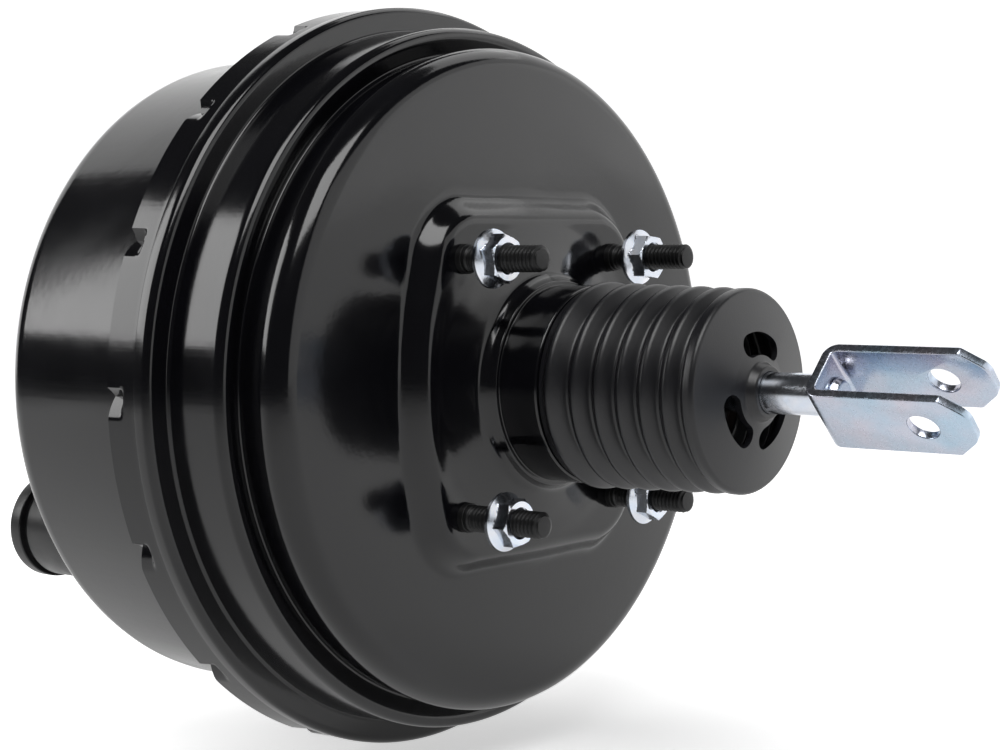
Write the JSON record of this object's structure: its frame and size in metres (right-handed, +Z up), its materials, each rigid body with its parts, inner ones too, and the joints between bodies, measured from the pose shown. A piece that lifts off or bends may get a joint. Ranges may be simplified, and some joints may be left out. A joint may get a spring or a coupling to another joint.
{
  "type": "brake booster",
  "caption": "Tandem vacuum brake booster with pressed black shell, firewall studs, bellows dust boot, rod with fork clevis and vacuum check valve.",
  "frame": {"origin": "on the booster's axis, in the plane of the firewall mounting face, at the centre of the four firewall studs", "axes": "+X along the booster's axis, out of the firewall face towards the brake pedal; +Z up as in the picture; +Y to the far side"},
  "size_m": [0.3095, 0.236, 0.236],
  "materials": {
    "black_paint": "glossy black paint",
    "black_oxide": "dark phosphate",
    "bright_zinc": "bright zinc plating",
    "clevis_zinc": "zinc plating, satin",
    "boot_rubber": "matte rubber",
    "diaphragm_rubber": "moulded rubber",
    "seal_rubber": "moulded rubber",
    "plate_steel": "zinc plated sheet",
    "moulding": "moulded thermoset",
    "black_plastic": "satin moulding",
    "nylon": "natural moulding",
    "spring_steel": "drawn wire",
    "machined_steel": "machined",
    "foam": "open felt"
  },
  "bodies": {
    "housing": {"rear_shell": "black_paint", "front_shell": "black_paint", "rear_reinforcement_plate": "plate_steel", "front_reinforcement_plate": "plate_steel", "firewall_studs": "black_oxide", "flange_nuts": "bright_zinc", "master_cylinder_studs": "black_oxide", "neck_guide": "nylon", "neck_seal": "seal_rubber", "seal_washer": "nylon", "front_seal": "seal_rubber", "center_plate": "plate_steel", "divider_seal": "seal_rubber", "rear_diaphragm": "diaphragm_rubber", "front_diaphragm": "diaphragm_rubber", "return_spring": "spring_steel", "check_valve_grommet": "boot_rubber", "check_valve_body": "black_plastic", "check_valve_cover": "black_plastic", "check_valve_spring": "spring_steel", "boot": "boot_rubber"},
    "power_piston": {"valve_body": "moulding", "rear_support_plate": "plate_steel", "front_support_plate": "plate_steel", "rear_plate_retainer": "plate_steel", "front_plate_retainer": "plate_steel", "reaction_disc": "seal_rubber", "output_rod": "machined_steel", "output_rod_retainer": "plate_steel", "stop_key": "plate_steel", "poppet_valve": "seal_rubber", "poppet_retainer": "plate_steel", "poppet_spring": "spring_steel", "rod_return_spring": "spring_steel", "air_filter": "foam", "silencer": "foam"},
    "plunger": {"plunger": "machined_steel"},
    "input_rod": {"input_rod": "bright_zinc", "spring_seat": "plate_steel"},
    "clevis": {"clevis": "clevis_zinc"},
    "check_poppet": {"check_valve_poppet": "seal_rubber"}
  },
  "joints": [
    {"name": "piston_slide", "type": "slide", "parent": "housing", "child": "power_piston", "axis": [-1, 0, 0], "range_m": [0, 0.036], "stiffness_N_per_m": 2000, "springref_m": -0.04, "deforming": ["boot", "rear_diaphragm", "front_diaphragm", "return_spring"]},
    {"name": "plunger_slide", "type": "slide", "parent": "power_piston", "child": "plunger", "axis": [-1, 0, 0], "range_m": [0, 0.002], "stiffness_N_per_m": 3000, "springref_m": -0.01, "deforming": ["poppet_valve", "poppet_spring", "rod_return_spring"]},
    {"name": "rod_swing", "type": "hinge", "parent": "plunger", "child": "input_rod", "pos_m": [0.024, 0, 0], "axis": [0, 0.7009, 0.7133], "range_deg": [-3, 3]},
    {"name": "clevis_turn", "type": "hinge", "parent": "input_rod", "child": "clevis", "pos_m": [0.102, 0, 0], "axis": [1, 0, 0], "continuous": true},
    {"name": "check_valve_lift", "type": "slide", "parent": "housing", "child": "check_poppet", "axis": [-1, 0, 0], "range_m": [0, 0.002], "stiffness_N_per_m": 60, "springref_m": -0.004, "deforming": ["check_valve_spring"]}
  ]
}
